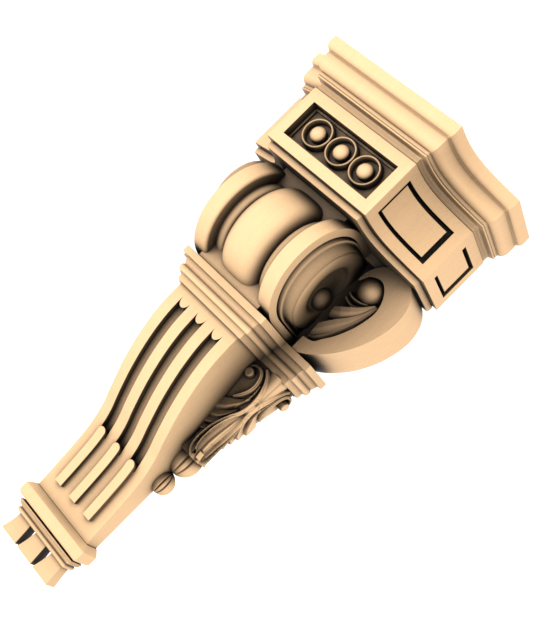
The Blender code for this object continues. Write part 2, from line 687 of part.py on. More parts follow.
def build_bracket():
    body = loft("bracket", [bracket_ring(*row) for row in BRACKET])
    rings = []
    slant = math.sqrt(0.5)
    for height, x, y, half in STEM:
        ring = []
        for across, out in STEM_SECTION:
            push = half * (out * STEM_OUT - across ** 2 * STEM_CAMBER)
            ring.append((x + (across * half + push) * slant, y + (across * half - push) * slant,
                         height))
        for along_x, along_y in ((half - STEM_ROOT, half + STEM_ROOT),
                                 (-half - STEM_ROOT, STEM_ROOT - half)):
            ring.append((x + along_x * slant, y + along_y * slant, height))
        rings.append(ring)
    added = [loft("stem", rings), ball("tip", TIP, TIP_RADII, 8, 4)]
    for place in (on_front, on_side):

        def lay(u, v, height, place=place):
            return place(u / UNIT, v, height)

        for points, halves, heights, section in RIBS:
            steps = 2 if section is LEAF and len(points) == 5 else 1
            path = smooth_path([(u * UNIT, v) for u, v in points], steps)
            halves = [w * RIB_WIDEN for w in halves]
            added.append(ribbon("rib", path, halves, heights, lay, section, RIB_DEEP))
    added.append(ball("eye_front", FRONT_EYE, FRONT_EYE_RADII, 10, 5))
    added.append(ball("eye_side", SIDE_EYE, SIDE_EYE_RADII, 10, 5))
    added += [grooved_bead(*row) for row in BEADS]
    return both_sides(combine(body, added, "UNION"))


def build_drops():
    drops = []
    back = PAST_WALL - 4.5
    for place in (-1, 0, 1):
        middle = place * DROP_PITCH
        rings = []
        for z, half, depth in DROP:
            rings.append([(middle - half, -depth, z), (middle + half, -depth, z),
                          (middle + half, back, z), (middle - half, back, z)])
        drops.append(loft("drop", rings))
    return drops


def wood():
    material = bpy.data.materials.new("timber")
    material.use_nodes = True
    shader = material.node_tree.nodes["Principled BSDF"]
    shader.inputs["Base Color"].default_value = (0.80, 0.58, 0.33, 1.0)
    shader.inputs["Roughness"].default_value = 0.62
    shader.inputs["Metallic"].default_value = 0.0
    return material


def main():
    clear_scene()
    body = build_block()
    shelf = loft("shelf", [shelf_ring(s, h) for s, h in NECK])
    plinth = loft("plinth", [plinth_ring(s, h) for s, h in PLINTH])
    pieces = [build_roll(), build_wing(), shelf, build_shaft(), build_bracket(), plinth]
    combine(body, pieces + build_drops(), "UNION")
    combine(body, [box("wall", (-200, 0, -50), (200, 60, 500))], "DIFFERENCE")
    bm = bmesh.new()
    bm.from_mesh(body.data)
    bmesh.ops.translate(bm, vec=(0.0, 0.0, -FIX_HEIGHT * MM), verts=bm.verts)
    bmesh.ops.recalc_face_normals(bm, faces=bm.faces)
    bm.to_mesh(body.data)
    bm.free()
    body.name = "corbel"
    body.data.name = "corbel"
    cutters.objects.unlink(body)
    collection.objects.link(body)
    body.data.materials.clear()
    body.data.materials.append(wood())
    for polygon in body.data.polygons:
        polygon.material_index = 0
    body.data.shade_smooth()
    body.data.set_sharp_from_angle(angle=math.radians(CREASE))


main()
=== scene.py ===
"""Looks of the carved timber corbel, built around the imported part.

Sizes are in millimetres, heights are measured up from the foot, x runs across the face and the
wall is y = 0. Every mesh is moved down by FIX_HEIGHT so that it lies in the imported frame.
"""
import math
import bpy
import bmesh
import numpy as np
from mathutils import Matrix, Vector


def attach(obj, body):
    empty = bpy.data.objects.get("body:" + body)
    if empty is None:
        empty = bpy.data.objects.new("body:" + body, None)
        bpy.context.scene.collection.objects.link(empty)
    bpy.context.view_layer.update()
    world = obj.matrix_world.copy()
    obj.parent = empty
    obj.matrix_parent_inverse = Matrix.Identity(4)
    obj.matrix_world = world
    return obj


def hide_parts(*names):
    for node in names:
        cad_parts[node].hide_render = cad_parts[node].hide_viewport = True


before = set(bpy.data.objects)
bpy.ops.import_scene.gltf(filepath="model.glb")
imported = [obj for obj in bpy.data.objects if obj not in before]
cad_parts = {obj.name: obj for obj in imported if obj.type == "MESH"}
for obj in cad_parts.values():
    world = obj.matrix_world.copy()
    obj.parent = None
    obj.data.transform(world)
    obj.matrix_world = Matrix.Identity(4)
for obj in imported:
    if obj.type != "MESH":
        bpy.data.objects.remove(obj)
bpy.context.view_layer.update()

MM = 0.001
FIX_HEIGHT = 390.0
MERGE = 0.004

# camera, as solved for the photograph
CAMERA_PLACE = (448.58, -803.32, 224.56)
CAMERA_TURN = 29.554
CAMERA_RISE = 3.100
CAMERA_ROLL = 45.01
CAMERA_LENS = 65.53

# light and floor
KEY_TURN = -25.0
KEY_RISE = -12.0
KEY_SPREAD = 50.0
KEY_STRENGTH = 4.8
AMBIENT = 1.27
BACKDROP = 1.2
FLOOR_LEVEL = -0.75
FLOOR_HALF = 6.0

# finish
# painted shade in hollows: reach, gain and power of the ambient occlusion that darkens the timber
# colour
AO_REACH = 0.15
AO_GAIN = 1.02
AO_POWER = 3.0
WOOD_DARK = (0.76, 0.485, 0.258, 1.0)
WOOD_LIGHT = (0.80, 0.517, 0.279, 1.0)
SPECKLE_DARK = (0.93, 0.93, 0.93, 1.0)
WHITE = (1.0, 1.0, 1.0, 1.0)
GRAIN_SCALE = (260.0, 260.0, 14.0)
PORE_SCALE = (1500.0, 1500.0, 900.0)
EDGE_ROUND = 0.0005
PORE_DEPTH = 0.0003

# block, cornice and bed mould
BLOCK_HALF = 55.0
BLOCK_DEPTH = 108.3
BLOCK_SIDE = 98.5
BLOCK_BOTTOM = 364.8
COVE_END = 53.0
COVE_FRONT_HANDLE = 36.0
COVE_BACK_HANDLE = 34.0
COVE_BACK_SLOPE = 24.0
PANEL_LOW = 374.0
PANEL_HIGH = 407.2
RECESS_HALF = 46.0
RECESS_DEPTH = 9.0
RING_PITCH = 26.0
RING_RADIUS = 11.8
RING_HEIGHT = 6.4
BOSS_RADIUS = 6.6
BOSS_RISE = 2.4
CHANNEL_DEPTH = 8.0
CHANNEL_SPAN = (0.105, 0.907)
CHANNEL_INNER = (0.131, 0.86)
SIDE_PANEL_OUTER = (-44.3, -7.5)
SIDE_PANEL_INNER = (-50.0, -14.0)
RIDGE_WIDTH = 1.7

# roll across the face
ROLL_Y = -70.5
ROLL_Z = 311.5
WHEEL_RADIUS = 47.0
WHEEL_OUT = 45.0
WHEEL_IN = 30.8
FILLET_RADIUS = 38.3
CUSHION_HALF = 20.6
CUSHION_EDGE = 34.6
CUSHION_CREST = 45.2
CORE_HALF = 35.0
CORE_FRONT = 88.0
RIM_RADIUS = 41.6
EYE_Y = -44.0
EYE_Z = 314.4
TURN_WIDE = 32.0
TURN_TALL = 36.8
BUD = (35.5, -30.0, 307.0)
BUD_RADII = (8.8, 13.0, 10.4)
BUD_RIDGE = -30.0

# side wings
WING_FRONT = 42.0
WING_FLOOR = 27.4
LEAF_FLOOR = 28.0
WING_INSIDE = 42.0
WING_TOP = 361.5
WING_LOW = 256.5
WING_EDGE = [(53.4, 260.6), (59.0, 263.6), (72.0, 272.2), (86.0, 287.5), (96.6, 307.5),
             (101.4, 330.0), (97.6, 348.0), (88.0, 358.6), (76.0, 361.4)]
WING_CURL = [(76.0, 361.4), (64.0, 358.4), (56.6, 351.4), (53.4, 343.6), (53.0, 336.6)]
WING_CORE = (54.6, 337.0)
WING_CAVITY = [(58.0, 343.6), (63.4, 346.4), (69.0, 346.9), (74.4, 343.8), (79.6, 337.2),
               (82.6, 329.0), (82.8, 321.0), (79.6, 307.4), (73.4, 293.6), (66.9, 284.2),
               (62.4, 278.3), (53.4, 276.3)]
LEAF_EDGE = 52.8
LEAF_LIMIT = 85.0
LEAF_LOW = 266.0
LEAF_HIGH = 357.0
WING_BALL = (65.0, 336.6)
WING_BALL_RADII = (12.6, 11.0)
WING_BALL_RISE = 13.5

# shelf
SHELF_HALF = 47.1
SHELF_DEPTH = 89.5
SHELF_STEP = 42.7
SHELF_SIDE = 76.1
SHELF_TOP = 263.8

# shaft
SHAFT_HALF = 35.0
SHAFT_FOOT = 44.0
SHAFT_HEAD = 242.0
SHAFT_FACE = [(16.4, 44.0), (18.4, 62.0), (21.0, 84.0), (25.2, 107.0), (33.5, 127.5),
              (45.5, 145.5), (58.5, 167.0), (69.3, 190.5), (75.6, 212.0), (77.5, 230.0),
              (77.5, 242.0)]
FLUTE_PITCH = 20.0
FLUTE_HALF = 5.0
FLUTE_DEPTH = 6.0
FLUTE_TIP = 234.4
FLUTE_TONGUE = (5.05, 8.2)
FLUTE_FOOT = 110.0
ROD_HALF = 4.0
ROD_PROUD = 3.6
ROD_TOP = 116.3
ROD_FOOT = 58.5
ROD_BACK = 8.0
ROD_LEAN = 0.28

# plinth and drops
PLINTH_HALF = 41.0
PLINTH_DEPTH = 22.0
DROP_PITCH = 23.0
DROP_TOP = 18.6
DROP_HALF_TOP = 7.4
DROP_HALF_FOOT = 10.0
DROP_DEPTH_TOP = 11.4
DROP_DEPTH_FOOT = 13.5
DROP_WAIST = 9.0

# leaf bracket: height, corner across, corner out
BRACKET = [(150.0, 51.0, -19.2), (154.0, 50.6, -18.8), (160.0, 49.0, -17.6),
           (168.0, 48.6, -17.4), (180.0, 51.0, -20.0), (190.0, 53.6, -22.6),
           (205.0, 57.6, -27.0), (222.0, 61.4, -30.2), (241.0, 62.6, -31.0)]
BRACKET_LOW = 150.0
BRACKET_HIGH = 241.0
BRACKET_ROUND = 4.0
BRACKET_INSIDE = 34.9
FACE_SPAN = 26.0
VOLUTE_EYE = (8.55, 228.2)
WALL_GAP = 0.1
BALLS = [(144.6, 16.0, 15.6), (118.6, 11.7, 10.4)]
BALL_BAND = 38.0
BALL_BAND_HALF = 10.5
BALL_GROOVE_WIDTH = 2.6
BALL_GROOVE_DEPTH = 1.5


def arc(centre, radii, first, last, count):
    """Points of an elliptical arc, angles in degrees."""
    points = []
    for k in range(count + 1):
        a = math.radians(first + (last - first) * k / count)
        points.append((centre[0] + radii[0] * math.cos(a), centre[1] + radii[1] * math.sin(a)))
    return points


def bezier(a, b, c, d, count):
    points = []
    for i in range(count + 1):
        t = i / count
        s = 1.0 - t
        weights = (s ** 3, 3 * s * s * t, 3 * s * t * t, t ** 3)
        points.append(tuple(sum(w * p[k] for w, p in zip(weights, (a, b, c, d)))
                            for k in range(len(a))))
    return points


def smooth_path(points, count):
    """Even curve through the given points (Catmull-Rom), count steps between each two."""
    ends = [points[0]] + list(points) + [points[-1]]
    path = []
    for i in range(1, len(ends) - 2):
        p0, p1, p2, p3 = ends[i - 1:i + 3]
        for k in range(count):
            t = k / count
            path.append(tuple(0.5 * (2 * b + (c - a) * t + (2 * a - 5 * b + 4 * c - d) * t * t
                                     + (3 * b - a - 3 * c + d) * t ** 3)
                              for a, b, c, d in zip(p0, p1, p2, p3)))
    path.append(tuple(points[-1]))
    return path


def new_object(name, mesh):
    thing = bpy.data.objects.new(name, mesh)
    bpy.context.scene.collection.objects.link(thing)
    return thing


def from_bmesh(name, bm):
    bmesh.ops.recalc_face_normals(bm, faces=bm.faces)
    mesh = bpy.data.meshes.new(name)
    bm.to_mesh(mesh)
    bm.free()
    return new_object(name, mesh)


def at(x, y, z):
    return Vector((x, y, z - FIX_HEIGHT)) * MM


def loft(name, rings, closed=False):
    """Skin between sections with equal numbers of points, capped at both ends."""
    bm = bmesh.new()
    rows = [[bm.verts.new(at(*p)) for p in ring] for ring in rings]
    count = len(rows[0])
    pairs = list(zip(rows, rows[1:]))
    if closed:
        pairs.append((rows[-1], rows[0]))
    for low, high in pairs:
        for i in range(count):
            j = (i + 1) % count
            bm.faces.new((low[i], low[j], high[j], high[i]))
    if not closed:
        bm.faces.new(list(reversed(rows[0])))
        bm.faces.new(rows[-1])
    return from_bmesh(name, bm)


def box(name, low, high):
    bm = bmesh.new()
    bmesh.ops.create_cube(bm, size=1.0)
    size = [(b - a) * MM for a, b in zip(low, high)]
    middle = at(*[(a + b) / 2 for a, b in zip(low, high)])
    bmesh.ops.scale(bm, vec=size, verts=bm.verts)
    bmesh.ops.translate(bm, vec=middle, verts=bm.verts)
    return from_bmesh(name, bm)


def ball(name, centre, radii):
    bm = bmesh.new()
    bmesh.ops.create_uvsphere(bm, u_segments=72, v_segments=40, radius=1.0)
    bmesh.ops.scale(bm, vec=[r * MM for r in radii], verts=bm.verts)
    bmesh.ops.translate(bm, vec=at(*centre), verts=bm.verts)
    return from_bmesh(name, bm)


def flat(name, outline, low, high):
    """Outline of x and height, given a thickness along y."""
    return loft(name, [[(x, level, z) for x, z in outline] for level in (low, high)])


def apply_modifiers(thing):
    graph = bpy.context.evaluated_depsgraph_get()
    mesh = bpy.data.meshes.new_from_object(thing.evaluated_get(graph))
    thing.modifiers.clear()
    thing.data = mesh


def combine(body, tools, operation):
    """One exact Boolean with a list of tools, applied at once. The tools are used up."""
    group = bpy.data.collections.new("tools")
    for tool in tools:
        group.objects.link(tool)
    modifier = body.modifiers.new("step", "BOOLEAN")
    modifier.operation = operation
    modifier.solver = "EXACT"
    modifier.operand_type = "COLLECTION"
    modifier.collection = group
    bpy.context.view_layer.update()
    apply_modifiers(body)
    for tool in tools:
        bpy.data.objects.remove(tool, do_unlink=True)
    bpy.data.collections.remove(group)
    bm = bmesh.new()
    bm.from_mesh(body.data)
    bmesh.ops.remove_doubles(bm, verts=bm.verts, dist=MERGE * MM)
    bmesh.ops.dissolve_degenerate(bm, edges=bm.edges, dist=MERGE * MM)
    bm.to_mesh(body.data)
    bm.free()
    return body


def both_sides(thing):
    """A piece of the right side joined by its mirror image on the left."""
    mirror = thing.modifiers.new("both_sides", "MIRROR")
    mirror.use_axis[0] = True
    mirror.use_mirror_merge = False
    bpy.context.view_layer.update()
    apply_modifiers(thing)
    return thing


def cornice_profile():
    """Outward step from the block and height, from the block up to the level top."""
    points = [(0.0, 416.8), (-1.1, 417.4)]
    points += arc((0.6, 420.4), (1.7, 2.4), 200, 110, 5)
    points += [(0.4, 422.8), (3.2, 423.6)]
    points += arc((3.2, 424.6), (0.9, 1.0), -70, 70, 4)
    points += [(3.6, 425.8), (3.9, 426.3), (3.9, 427.9)]
    points += arc((3.4, 435.2), (5.7, 7.0), -84, 0, 9)
    points += [(9.1, 441.0), (8.8, 443.0), (9.4, 443.6)]
    points += arc((9.3, 448.9), (3.4, 5.1), -78, 0, 8)
    points += [(12.5, 454.8)]
    return points


def bed_profile():
    return [(-30.0, 352.0), (-30.0, 358.2), (-4.9, 358.8), (-4.4, 360.2), (-4.1, 362.4),
            (-4.1, 363.6), (-5.0, 364.0), (-5.0, 370.0)]


def cove_curve(step, count=28):
    """Concave corner in plan, from the front corner to the side, at an outward step."""
    lean = math.radians(COVE_BACK_SLOPE)
    start = (BLOCK_HALF + 0.95 * step, -BLOCK_DEPTH - step)
    end = (BLOCK_SIDE + step, -COVE_END - 0.65 * step)
    one = (start[0], start[1] + COVE_FRONT_HANDLE)
    two = (end[0] - COVE_BACK_HANDLE * math.cos(lean), end[1] - COVE_BACK_HANDLE * math.sin(lean))
    return bezier(start, one, two, end, count)


def block_ring(step, height):
    right = cove_curve(step) + [(BLOCK_SIDE + step, 8.0)]
    ring = [(x, y, height) for x, y in right]
    return ring + [(-x, y, height) for x, y in reversed(right)]


def shelf_ring(step, height):
    right = [(SHELF_HALF - step, -SHELF_DEPTH + step), (SHELF_HALF - step, -SHELF_STEP + step),
             (SHELF_SIDE - step, -SHELF_STEP + step), (SHELF_SIDE - step, 7.0)]
    ring = [(x, y, height) for x, y in right]
    return ring + [(-x, y, height) for x, y in reversed(right)]


def plinth_ring(step, height):
    half = PLINTH_HALF - step
    front = -PLINTH_DEPTH + step
    return [(half, front, height), (half, 6.0, height), (-half, 6.0, height),
            (-half, front, height)]


def cove_panel(name, span, low, high, out, deep):
    """Curved slab that follows the concave corner between two shares of its length."""
    fine = 120
    curve = cove_curve(0.0, fine)
    picked = curve[int(span[0] * fine):int(span[1] * fine) + 1:3]
    rings = []
    for i, (x, y) in enumerate(picked):
        before = picked[max(i - 1, 0)]
        after = picked[min(i + 1, len(picked) - 1)]
        run = Vector((after[0] - before[0], after[1] - before[1])).normalized()
        side = Vector((run.y, -run.x))
        front = Vector((x, y)) + side * out
        back = Vector((x, y)) - side * deep
        rings.append([(front.x, front.y, low), (back.x, back.y, low),
                      (back.x, back.y, high), (front.x, front.y, high)])
    return loft(name, rings)


def ring_and_boss(centre, floor):
    """Turned ring with a domed boss inside it, standing on the floor of the recess."""
    crest = floor - RING_HEIGHT
    section = [(RING_RADIUS - 1.5, floor + 0.5), (RING_RADIUS - 1.2, crest + 2.6),
               (RING_RADIUS - 0.6, crest + 0.4), (RING_RADIUS, crest),
               (RING_RADIUS + 0.6, crest + 0.4), (RING_RADIUS + 1.2, crest + 2.6),
               (RING_RADIUS + 1.5, floor + 0.5)]
    turns = 56
    rings = []
    for k in range(turns):
        a = math.tau * k / turns
        rings.append([(centre[0] + r * math.cos(a), y, centre[1] + r * math.sin(a))
                      for r, y in section])
    ring = loft("ring", rings, closed=True)
    turns = 48
    rings = []
    edge = crest + BOSS_RISE
    levels = [(1.0, floor + 0.5), (1.0, edge)]
    levels += [(math.cos(math.radians(a)), edge - (BOSS_RISE + 0.8) * math.sin(math.radians(a)))
               for a in range(10, 90, 13)]
    for share, y in levels:
        rings.append([(centre[0] + BOSS_RADIUS * share * math.cos(math.tau * k / turns), y,
                       centre[1] + BOSS_RADIUS * share * math.sin(math.tau * k / turns))
                      for k in range(turns)])
    return [ring, loft("boss", rings)]


def build_block():
    body = loft("block", [block_ring(s, h) for s, h in [(0.0, BLOCK_BOTTOM)] + cornice_profile()])
    combine(body, [loft("bed", [block_ring(s, h) for s, h in bed_profile()])], "UNION")
    front = -BLOCK_DEPTH
    floor = front + RECESS_DEPTH
    recess = box("recess", (-RECESS_HALF, front - 5, PANEL_LOW), (RECESS_HALF, floor, PANEL_HIGH))
    channel = cove_panel("channel", CHANNEL_SPAN, PANEL_LOW, PANEL_HIGH, 2.0, CHANNEL_DEPTH)
    inner = cove_panel("inner", CHANNEL_INNER, PANEL_LOW + 3.2, PANEL_HIGH - 3.6, 3.0,
                       CHANNEL_DEPTH + 1)
    combine(channel, [inner], "DIFFERENCE")
    side = BLOCK_SIDE - CHANNEL_DEPTH
    outer = box("outer", (side, SIDE_PANEL_OUTER[0], PANEL_LOW),
                (BLOCK_SIDE + 3, SIDE_PANEL_OUTER[1], PANEL_HIGH))
    kept = box("kept", (side - 1, SIDE_PANEL_INNER[0], PANEL_LOW + 3),
               (BLOCK_SIDE + 4, SIDE_PANEL_INNER[1], PANEL_HIGH - 3.8))
    combine(outer, [kept], "DIFFERENCE")
    combine(body, [recess, both_sides(channel), both_sides(outer)], "DIFFERENCE")
    edge = RECESS_HALF - 0.8
    ridge = box("ridge", (-edge, floor - 2.0, PANEL_LOW + 0.8),
                (edge, floor + 1, PANEL_HIGH - 0.8))
    inside = edge - RIDGE_WIDTH
    hole = box("hole", (-inside, floor - 3, PANEL_LOW + 2.5), (inside, floor + 2, PANEL_HIGH - 2.5))
    combine(ridge, [hole], "DIFFERENCE")
    middle = (PANEL_LOW + PANEL_HIGH) / 2
    added = [ridge]
    for place in (-1, 0, 1):
        added += ring_and_boss((place * RING_PITCH, middle), floor)
    return combine(body, added, "UNION")


def roll_profile():
    """Half of the roll from the middle outwards: distance along x, radius."""
    points = []
    for k in range(17):
        share = math.sin(math.pi / 2 * k / 16)
        lift = (1.0 - share ** 3.6) ** 0.52
        points.append((share * CUSHION_HALF, CUSHION_EDGE + (CUSHION_CREST - CUSHION_EDGE) * lift))
    points += [(CUSHION_HALF + 0.4, CUSHION_EDGE), (CUSHION_HALF + 0.7, FILLET_RADIUS - 1.4)]
    points += arc((25.9, FILLET_RADIUS - 1.4), (4.4, 1.8), 170, 10, 8)
    points += [(WHEEL_IN - 0.5, FILLET_RADIUS - 1.6), (WHEEL_IN, FILLET_RADIUS - 1.2)]
    points += arc((WHEEL_IN + 3.0, WHEEL_RADIUS - 2.2), (3.0, 2.2), 180, 90, 8)
    points.append((WHEEL_OUT, WHEEL_RADIUS))
    return points


def d_outline(centre, radii, back):
    """Half round to the front and straight back towards the wall, as (y, z)."""
    turn = arc(centre, radii, 90, 270, 72)
    return turn + [(back, centre[1] - radii[1]), (back, centre[1] + radii[1])]


def blend(one, two, share):
    return [(a + (c - a) * share, b + (d - b) * share) for (a, b), (c, d) in zip(one, two)]


def side_scroll():
    """Hollow cut into the side of a wheel, leaving the rim, a round band and the coved turn."""
    back = -15.0
    rim = d_outline((ROLL_Y, ROLL_Z), (RIM_RADIUS, RIM_RADIUS), back)
    turn = d_outline((EYE_Y, EYE_Z), (TURN_WIDE, TURN_TALL), back)
    levels = [(0.08, WHEEL_OUT + 2), (0.08, 44.0), (0.12, 42.4), (0.18, 41.2), (0.235, 41.6),
              (0.26, 43.4), (0.30, 44.7), (0.36, 44.6), (0.45, 43.8), (0.54, 42.0),
              (0.60, 40.4), (0.645, 39.6), (0.70, 40.0), (0.78, 41.1), (0.87, 42.1),
              (0.95, 42.7), (1.0, 42.8), (1.0, 32.0)]
    rings = [[(x, y, z) for y, z in blend(rim, turn, share)] for share, x in levels]
    return both_sides(loft("side_scroll", rings))


def turn_band():
    """Broad crescent round the eye, with the hollow eye."""
    levels = [(1.0, 30.0), (1.0, 42.6), (0.985, 43.4), (0.95, 44.0), (0.88, 44.4),
              (0.78, 44.4), (0.68, 44.0), (0.62, 43.3), (0.585, 42.2), (0.57, 40.8),
              (0.55, 38.8), (0.50, 37.2), (0.38, 36.0), (0.2, 35.4), (0.08, 35.2)]
    rings = []
    for share, x in levels:
        radii = ((TURN_WIDE + 0.4) * share, (TURN_TALL + 0.4) * share)
        rings.append([(x, y, z) for y, z in arc((EYE_Y, EYE_Z), radii, 0, 355, 71)])
    return both_sides(loft("turn_band", rings))


def eye_bud():
    """Bud in the eye: a dome folded along a sharp upright ridge."""
    bud = ball("bud", BUD, BUD_RADII)
    for vertex in bud.data.vertices:
        over = vertex.co.y / MM - BUD_RIDGE
        if over > 0.0:
            vertex.co.x -= over * 0.9 * MM
    return both_sides(bud)


def build_roll():
    half = roll_profile()
    profile = [(-x, r) for x, r in reversed(half[1:])] + half
    body = loft("roll", [[(x, y, z) for y, z in d_outline((ROLL_Y, ROLL_Z), (r, r), 7.5)]
                         for x, r in profile])
    combine(body, [side_scroll()], "DIFFERENCE")
    core = box("core", (-CORE_HALF, -CORE_FRONT, SHELF_TOP - 4),
               (CORE_HALF, 6.5, BLOCK_BOTTOM + 6))
    return combine(body, [turn_band(), eye_bud(), core], "UNION")


def build_wing():
    edge = smooth_path(WING_EDGE, 10)
    body = flat("wing", edge + [(WING_INSIDE, WING_TOP), (WING_INSIDE, WING_LOW)], -WING_FLOOR, 5.0)
    curl = smooth_path(WING_CURL, 10)[1:]
    bed = flat("leaf_bed", edge + curl, -LEAF_FLOOR, -WING_FLOOR + 1.0)
    outline = edge + curl + [WING_CORE] + smooth_path(WING_CAVITY, 8)
    scroll = flat("scroll", outline, -WING_FRONT, -LEAF_FLOOR + 1.0)
    return both_sides(combine(body, [bed, scroll], "UNION"))


def neck_profile():
    """Inward step from the shelf edge, height."""
    points = [(12.1, 239.0), (12.1, 239.7), (9.4, 240.2)]
    points += [(8.8, 241.0), (8.7, 244.9), (8.4, 245.5), (6.6, 245.9)]
    points += arc((6.2, 249.0), (1.5, 2.8), -100, -260, 8)
    points += [(6.0, 252.3), (5.3, 253.4), (4.7, 254.8), (4.2, 256.3), (3.8, 257.7), (0.0, 258.1),
               (0.0, SHELF_TOP)]
    return points


def shaft_face():
    return smooth_path(SHAFT_FACE, 8)


def shaft_depth(height):
    face = shaft_face()
    return float(np.interp(height, [z for d, z in face], [d for d, z in face]))


def slice_at(middle, half, front, back, height):
    """Rectangle at one height of the shaft."""
    return [(middle - half, front, height), (middle + half, front, height),
            (middle + half, back, height), (middle - half, back, height)]


def flute_at(middle):
    """Cutter for a flute that ends in a tongue hanging from its top."""
    steps = 30
    rings = []
    for k in range(steps + 1):
        z = FLUTE_FOOT + (FLUTE_TIP - FLUTE_FOOT) * k / steps
        depth = shaft_depth(z)
        rings.append(slice_at(middle, FLUTE_HALF, -depth - 3, -depth + FLUTE_DEPTH, z))
    tongue = arc((middle, FLUTE_TIP), FLUTE_TONGUE, 180, 360, 24)
    tongue += [(middle + FLUTE_TONGUE[0], FLUTE_TIP + 5),
               (middle - FLUTE_TONGUE[0], FLUTE_TIP + 5)]
    return combine(loft("flute", rings), [flat("tongue", tongue, -100.0, -40.0)], "DIFFERENCE")


def rod_at(middle):
    """Raised bar with a round top, standing in the foot of a flute."""
    top = ROD_TOP - ROD_HALF
    rings = []
    for k in range(13):
        z = ROD_FOOT + (top - ROD_FOOT) * k / 12
        rings.append(slice_at(middle, ROD_HALF, -shaft_depth(z) - ROD_PROUD, -ROD_BACK, z))
    last = shaft_depth(top) + ROD_PROUD
    for k in range(1, 13):
        a = math.pi / 2 * k / 13
        z = top + ROD_HALF * math.sin(a)
        front = -last - (z - top) * ROD_LEAN
        rings.append(slice_at(middle, ROD_HALF * math.cos(a), front, -ROD_BACK, z))
    return loft("rod", rings)


def build_shaft():
    outline = [(-d, z) for d, z in shaft_face()] + [(5.5, SHAFT_HEAD), (5.5, SHAFT_FOOT)]
    body = loft("shaft", [[(x, y, z) for y, z in outline] for x in (-SHAFT_HALF, SHAFT_HALF)])
    middles = [place * FLUTE_PITCH for place in (-1, 0, 1)]
    combine(body, [flute_at(middle) for middle in middles], "DIFFERENCE")
    return combine(body, [rod_at(middle) for middle in middles], "UNION")


def plinth_profile():
    """Inward step from the plinth face, height."""
    points = [(8.6, 18.3)]
    points += arc((9.2, 20.6), (2.2, 2.0), -120, -240, 8)
    points += [(8.1, 22.8), (6.6, 23.6), (5.6, 24.7), (5.2, 24.9), (5.2, 26.2), (4.4, 26.4),
               (4.4, 27.8), (8.4, 28.0), (8.4, 29.2), (4.2, 29.4)]
    points += arc((4.2, 33.5), (4.2, 4.0), -90, -180, 6)[1:]
    points += [(0.0, 40.1), (0.6, 41.0), (4.9, 44.9), (6.4, 44.9), (6.4, 45.7)]
    return points


def build_drops():
    drops = []
    for place in (-1, 0, 1):
        middle = place * DROP_PITCH
        rings = []
        for half, depth, z in ((DROP_HALF_FOOT, DROP_DEPTH_FOOT, 0.0),
                               (DROP_HALF_TOP + 1.1, DROP_DEPTH_TOP + 0.5, DROP_WAIST),
                               (DROP_HALF_TOP, DROP_DEPTH_TOP, DROP_TOP)):
            rings.append([(middle - half, -depth, z), (middle + half, -depth, z),
                          (middle + half, 3.5, z), (middle - half, 3.5, z)])
        drops.append(loft("drop", rings))
    return drops


def build_body():
    body = build_block()
    shelf = loft("shelf", [shelf_ring(s, h) for s, h in neck_profile()])
    plinth = loft("plinth", [plinth_ring(s, h) for s, h in plinth_profile()])
    pieces = [build_roll(), build_wing(), shelf, build_shaft(), plinth]
    combine(body, pieces + build_drops(), "UNION")
    return combine(body, [box("wall", (-200, 0, -50), (200, 60, 500))], "DIFFERENCE")


def stroke(grid_u, grid_v, path, halves, heights, shape, steps=8):
    """Height of one carved strand over a grid. Widths and heights run evenly along its path."""
    curve = np.array(smooth_path(path, steps))
    share = np.linspace(0.0, 1.0, len(curve))
    half = np.interp(share, np.linspace(0, 1, len(halves)), halves)
    tall = np.interp(share, np.linspace(0, 1, len(heights)), heights)
    best = np.full(grid_u.shape, 1e9)
    across = np.zeros(grid_u.shape)
    height = np.zeros(grid_u.shape)
    for i in range(len(curve) - 1):
        a = curve[i]
        run = curve[i + 1] - a
        length = max(float(run @ run), 1e-9)
        t = np.clip(((grid_u - a[0]) * run[0] + (grid_v - a[1]) * run[1]) / length, 0.0, 1.0)
        du = grid_u - a[0] - run[0] * t
        dv = grid_v - a[1] - run[1] * t
        distance = np.hypot(du, dv)
        width = half[i] + (half[i + 1] - half[i]) * t
        ratio = distance / width
        nearer = ratio < best
        side = np.sign(run[0] * dv - run[1] * du)
        best = np.where(nearer, ratio, best)
        across = np.where(nearer, side * ratio, across)
        height = np.where(nearer, tall[i] + (tall[i + 1] - tall[i]) * t, height)
    inside = np.clip(1.0 - np.abs(across), 0.0, 1.0)
    return np.where(np.abs(across) < 1.0, height * shape(across, inside), -5.0)


def round_shape(across, inside):
    """Half-round strand."""
    return np.sqrt(np.clip(1.0 - across ** 2, 0.0, 1.0))


def blade_shape(across, inside):
    """Leaf lobe that rises from its upper edge to a crest near its lower edge."""
    rise = 0.45 + 0.55 * np.clip((1.0 - across) / 1.45, 0.0, 1.0)
    return rise * np.clip(inside / 0.2, 0.0, 1.0) ** 0.5


def tile_shape(across, inside):
    """Leaf lobe with a broad top along its left edge, falling away to a crease on its right."""
    fall = np.clip((0.15 - across) / 1.15, 0.0, 1.0)
    return (1.0 - 0.42 * fall ** 1.3) * np.clip(inside / 0.2, 0.0, 1.0) ** 0.5


def strand_shape(across, inside):
    """Rounded strand with a fine groove along it."""
    groove = 0.16 * np.exp(-((across + 0.15) / 0.16) ** 2)
    return round_shape(across, inside) - groove


def flat_shape(across, inside):
    """Level bed with rounded edges."""
    return np.clip(inside / 0.22, 0.0, 1.0) ** 0.5


